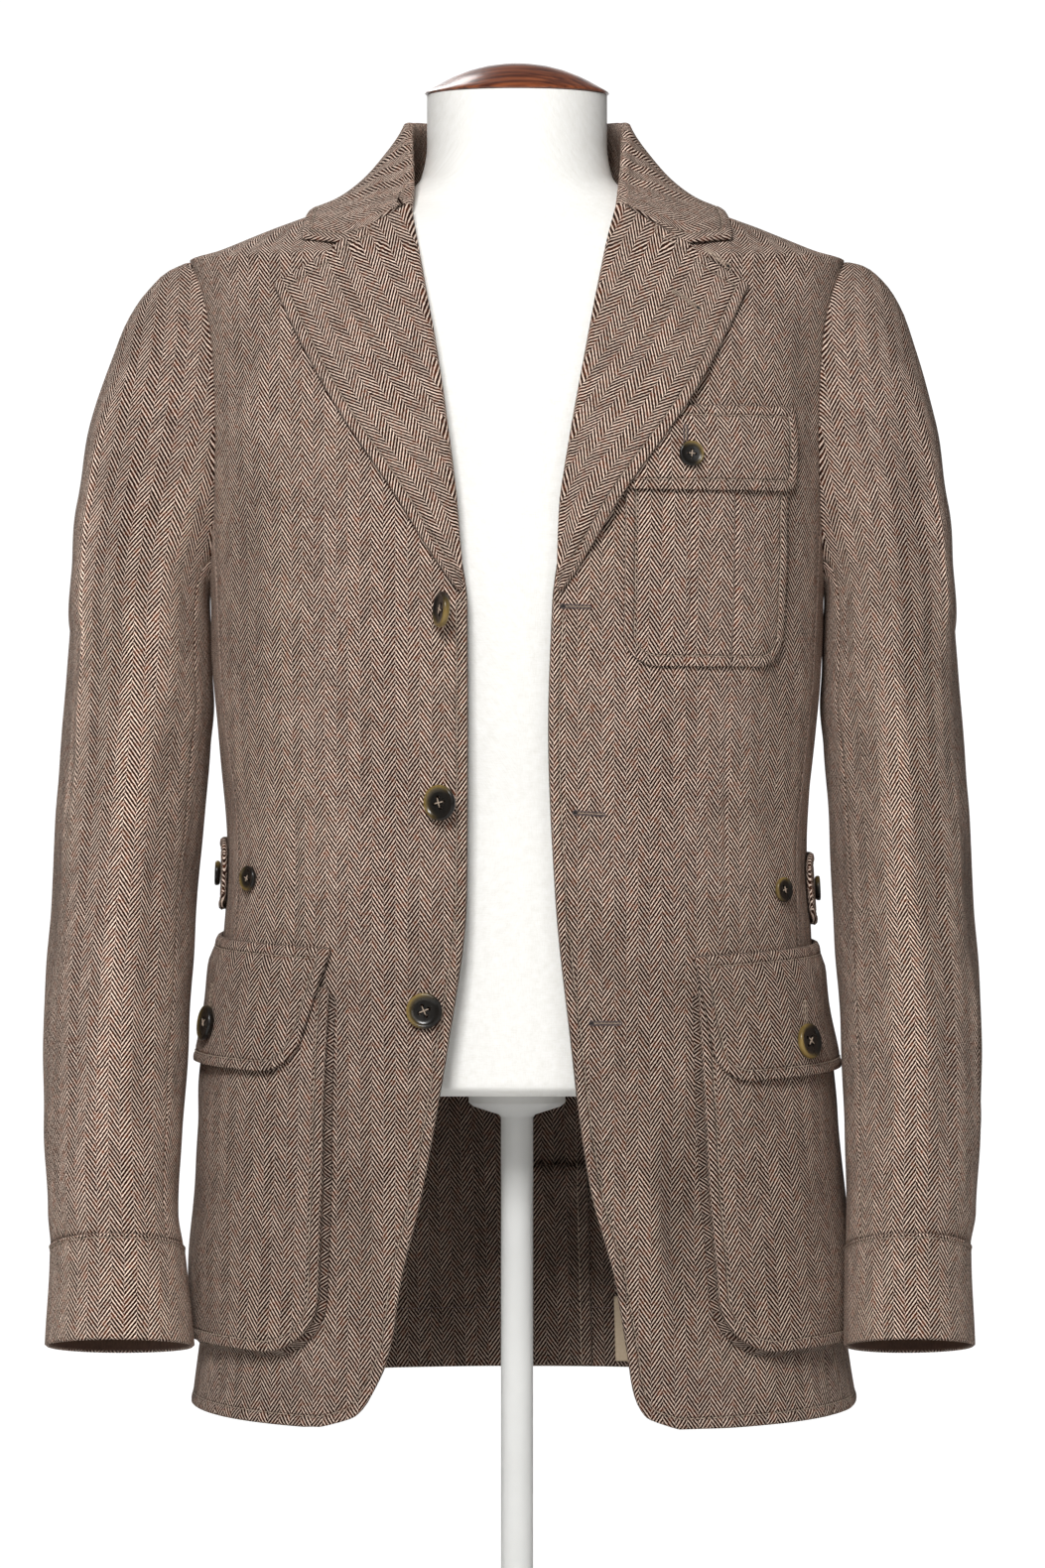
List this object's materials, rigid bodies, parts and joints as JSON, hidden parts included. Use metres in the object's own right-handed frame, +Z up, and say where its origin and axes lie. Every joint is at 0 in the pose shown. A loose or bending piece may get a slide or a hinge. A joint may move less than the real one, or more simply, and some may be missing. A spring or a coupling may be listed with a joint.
{
  "type": "safari jacket on a dress form",
  "caption": "Tweed safari jacket with notched lapels, a flapped chest pocket, bellows hip pockets and waist tabs, hung open on a limbless dress form with a wooden cap and a foot.",
  "frame": {"origin": "centre of the underside of the stand's foot, on the floor", "axes": "+Z up; -Y to the front of the jacket; +X to the wearer's left"},
  "size_m": [0.5808, 0.3, 0.975],
  "materials": {
    "tweed": "brown herringbone wool",
    "horn": "polished dark horn",
    "linen": "smooth white linen",
    "mahogany": "varnished",
    "white_paint": "satin"
  },
  "bodies": {
    "root": {"front_right": "tweed", "front_left": "tweed", "side_right": "tweed", "side_left": "tweed", "back_right": "tweed", "back_left": "tweed", "lapel_right": "tweed", "lapel_left": "tweed", "upper_sleeve_right": "tweed", "upper_sleeve_left": "tweed", "under_sleeve_right": "tweed", "under_sleeve_left": "tweed", "cuff_right": "tweed", "cuff_left": "tweed", "hip_pocket_right": "tweed", "hip_pocket_left": "tweed", "hip_gusset_right": "tweed", "hip_gusset_left": "tweed", "hip_flap_right": "tweed", "hip_flap_left": "tweed", "waist_tab_right": "tweed", "waist_tab_left": "tweed", "vent_underlap": "tweed", "collar": "tweed", "chest_pocket": "tweed", "chest_flap": "tweed", "front_button_1": "horn", "front_button_2": "horn", "front_button_3": "horn", "chest_button": "horn", "hip_button_right": "horn", "hip_button_left": "horn", "tab_button_right": "horn", "tab_button_left": "horn", "spare_button_right": "horn", "spare_button_left": "horn", "form_torso": "linen", "form_cap": "mahogany", "form_pole": "white_paint", "form_base": "white_paint"}
  },
  "joints": []
}
